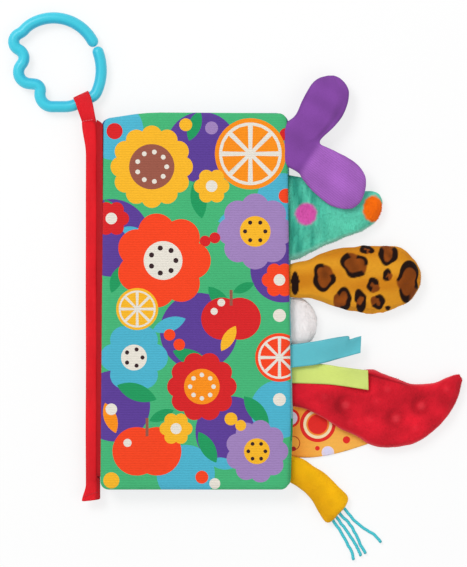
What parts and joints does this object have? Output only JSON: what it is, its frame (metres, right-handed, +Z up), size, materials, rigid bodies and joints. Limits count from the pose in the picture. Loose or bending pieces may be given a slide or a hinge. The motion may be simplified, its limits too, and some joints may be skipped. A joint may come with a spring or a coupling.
{
  "type": "cloth book",
  "caption": "Soft cloth book with padded covers and leaves, a bound spine tape with a link ring, and stuffed tails and ribbons along the fore-edge.",
  "frame": {"origin": "centre of the back cover's flat rest face", "axes": "+X to the fore-edge with the tails, +Y to the head of the book, +Z up through the stack of leaves"},
  "size_m": [0.2811, 0.3412, 0.015],
  "materials": {
    "leaf_cloth": "woven polyester",
    "cover_cloth": "printed ribbed cloth",
    "back_cloth": "ribbed cloth",
    "spine_tape": "folded grosgrain tape",
    "ring_plastic": "smooth moulded plastic",
    "fluke_velour": "velour",
    "green_plush": "short plush",
    "pink_plush": "short plush",
    "orange_plush": "short plush",
    "leopard_plush": "short plush",
    "leopard_dark": "short plush",
    "leopard_brown": "short plush",
    "white_plush": "fluffy plush",
    "teal_ribbon": "satin ribbon",
    "lime_ribbon": "satin ribbon",
    "red_plush": "embossed plush",
    "fin_cloth": "smooth cloth",
    "fin_red": "smooth cloth",
    "fin_cream": "smooth cloth",
    "yellow_plush": "short plush",
    "tassel_cord": "twisted cord",
    "print_green": "printed ribbed cloth",
    "print_purple": "printed ribbed cloth",
    "print_sky": "printed ribbed cloth",
    "print_leaf": "printed ribbed cloth",
    "print_lilac": "printed ribbed cloth",
    "print_crimson": "printed ribbed cloth",
    "print_scarlet": "printed ribbed cloth",
    "print_orange": "printed ribbed cloth",
    "print_yellow": "printed ribbed cloth",
    "print_brown": "printed ribbed cloth",
    "print_cream": "printed ribbed cloth",
    "print_dark": "printed ribbed cloth"
  },
  "bodies": {
    "book_block": {"inner_pages": "leaf_cloth", "spine_tape": "spine_tape", "green_tail": "green_plush", "green_tail_pink_spot": "pink_plush", "green_tail_orange_spot": "orange_plush", "leopard_tail": "leopard_plush", "leopard_tail_rings": "leopard_dark", "leopard_tail_centres": "leopard_brown", "bunny_tail": "white_plush", "teal_ribbon": "teal_ribbon", "lime_ribbon": "lime_ribbon", "red_tail": "red_plush", "printed_fin": "fin_cloth", "printed_fin_red_print": "fin_red", "printed_fin_cream_print": "fin_cream", "yellow_tail": "yellow_plush", "tassel_string_1": "tassel_cord", "tassel_string_2": "tassel_cord", "tassel_string_3": "tassel_cord", "tassel_string_4": "tassel_cord"},
    "front_cover": {"front_cover": "cover_cloth", "fluke_tail": "fluke_velour", "cover_print_green": "print_green", "cover_print_purple": "print_purple", "cover_print_sky": "print_sky", "cover_print_leaf": "print_leaf", "cover_print_lilac": "print_lilac", "cover_print_crimson": "print_crimson", "cover_print_scarlet": "print_scarlet", "cover_print_orange": "print_orange", "cover_print_yellow": "print_yellow", "cover_print_brown": "print_brown", "cover_print_cream": "print_cream", "cover_print_dark": "print_dark"},
    "back_cover": {"back_cover": "back_cloth"},
    "ring": {"link_ring": "ring_plastic"}
  },
  "joints": [
    {"name": "front_cover_fold", "type": "hinge", "parent": "book_block", "child": "front_cover", "pos_m": [-0.0637, 0, 0.0074], "axis": [0, -1, 0], "range_deg": [0, 180]},
    {"name": "back_cover_fold", "type": "hinge", "parent": "book_block", "child": "back_cover", "pos_m": [-0.0637, 0, 0.0074], "axis": [0, 1, 0], "range_deg": [0, 180]},
    {"name": "ring_swing", "type": "hinge", "parent": "book_block", "child": "ring", "pos_m": [-0.06962, 0.12549, 0.00455], "axis": [0.9063, 0.4226, 0], "range_deg": [0, 45]}
  ]
}
